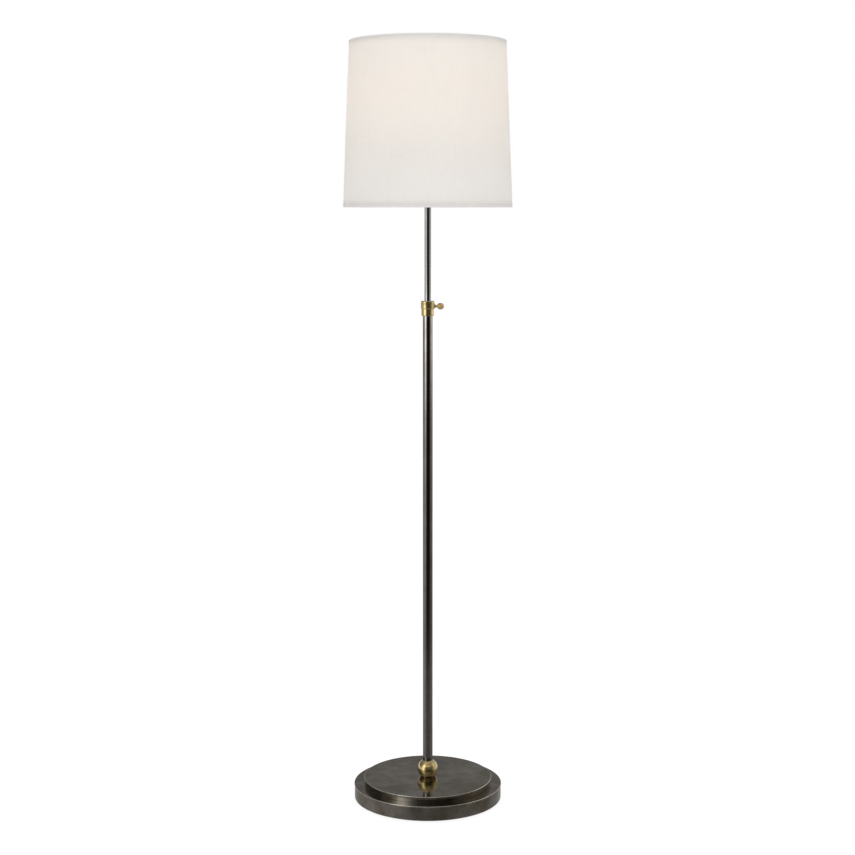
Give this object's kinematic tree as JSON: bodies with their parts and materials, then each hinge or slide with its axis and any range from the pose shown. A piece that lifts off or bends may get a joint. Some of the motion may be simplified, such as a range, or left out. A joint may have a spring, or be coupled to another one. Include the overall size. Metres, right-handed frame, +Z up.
{
  "type": "floor lamp",
  "caption": "Pharmacy floor lamp: stepped round base, ball and column, telescoping rod with clamp collar, harp, lampholder, bulb and white drum shade.",
  "frame": {"origin": "centre of the underside of the felt pad, on the floor", "axes": "+Z up along the column, +X towards the thumbscrew, +Y towards the back, where the cord inlet is; the switch knob points along -Y"},
  "size_m": [0.3179, 0.318, 1.4615],
  "materials": {
    "felt": "wool felt, dark grey",
    "brushed_bronze": "spun steel, dark bronze finish, brushed and mottled",
    "bronze_tube": "dark bronze finish, semi-gloss",
    "antique_brass": "antique brass, polished and lacquered",
    "gunmetal": "gunmetal plating, polished",
    "cast_iron": "raw casting",
    "zinc_steel": "zinc plated",
    "nylon": "natural nylon",
    "black_plastic": "moulded, satin",
    "brass_plain": "bright pressed brass",
    "nickel": "nickel plated, satin",
    "holder_bronze": "dark bronze finish",
    "insulating_board": "pressed fibre board",
    "phenolic": "moulded phenolic",
    "bulb_aluminium": "pressed, bare",
    "black_glass": "opaque, fused",
    "frosted_glass": "frosted inside",
    "clear_glass": "clear",
    "tungsten": "drawn wire",
    "linen": "white linen laminated on a stiff backing",
    "shade_wire": "white coated wire"
  },
  "bodies": {
    "base": {"felt_pad": "felt", "lower_tier": "brushed_bronze", "upper_tier": "brushed_bronze", "tier_spacer": "zinc_steel", "base_weight": "cast_iron", "base_cover": "zinc_steel", "cover_screws": "zinc_steel", "cord_bushing": "black_plastic", "threaded_nipple": "zinc_steel", "nipple_lock_washer": "zinc_steel", "nipple_hex_nut": "zinc_steel", "brass_ball": "antique_brass", "lower_tube": "bronze_tube", "tube_bottom_plug": "zinc_steel", "clamp_collar": "antique_brass", "collar_top_ring": "antique_brass", "upper_guide_bush": "nylon"},
    "rod_guide": {"rod_guide_bush": "nylon"},
    "upper_rod": {"upper_rod": "gunmetal", "rod_retaining_ring": "zinc_steel", "rod_end_plug": "brass_plain", "rod_top_coupling": "zinc_steel", "harp_saddle": "nickel", "harp_loop": "nickel", "harp_stud": "nickel", "holder_nipple": "zinc_steel", "holder_cap": "holder_bronze", "holder_shell": "holder_bronze", "holder_liner": "insulating_board", "holder_body": "phenolic", "terminal_screws": "brass_plain", "screw_shell": "brass_plain", "centre_contact": "brass_plain", "bulb_cap": "bulb_aluminium", "bulb_insulator": "black_glass", "bulb_contact": "brass_plain", "bulb_glass": "frosted_glass", "bulb_stem": "clear_glass", "bulb_filament": "tungsten", "shade_panel": "linen", "shade_top_ring": "shade_wire", "shade_bottom_ring": "shade_wire", "shade_spider": "shade_wire", "shade_top_hem": "linen", "shade_bottom_hem": "linen", "finial": "antique_brass"},
    "clamp_tip": {"clamp_tip": "nylon"},
    "thumbscrew": {"thumbscrew": "antique_brass"},
    "switch_knob": {"switch_shaft": "zinc_steel", "switch_knob": "black_plastic"},
    "harp_sleeve_left": {"harp_sleeve_left": "nickel"},
    "harp_sleeve_right": {"harp_sleeve_right": "nickel"}
  },
  "joints": [
    {"name": "height_slide", "type": "slide", "parent": "base", "child": "rod_guide", "axis": [0, 0, 1], "range_m": [-0.25, 0.075]},
    {"name": "rod_swivel", "type": "hinge", "parent": "rod_guide", "child": "upper_rod", "pos_m": [0, 0, 0.825], "axis": [0, 0, 1], "range_deg": [-170, 170]},
    {"name": "clamp_tip_slide", "type": "slide", "parent": "base", "child": "clamp_tip", "axis": [1, 0, 0], "range_m": [0, 0.0008]},
    {"name": "thumbscrew_turn", "type": "hinge", "parent": "clamp_tip", "child": "thumbscrew", "pos_m": [0.0239, 0, 0.9602], "axis": [1, 0, 0], "range_deg": [0, 360]},
    {"name": "switch_turn", "type": "hinge", "parent": "upper_rod", "child": "switch_knob", "pos_m": [0, -0.025, 1.262], "axis": [0, -1, 0], "continuous": true},
    {"name": "harp_sleeve_left_slide", "type": "slide", "parent": "upper_rod", "child": "harp_sleeve_left", "axis": [0, 0, 1], "range_m": [0, 0.0125]},
    {"name": "harp_sleeve_right_slide", "type": "slide", "parent": "upper_rod", "child": "harp_sleeve_right", "axis": [0, 0, 1], "range_m": [0, 0.0125]}
  ],
  "couplings": [
    {"joint": "thumbscrew_turn", "follows": "clamp_tip_slide", "rad_per_m": 7854}
  ]
}
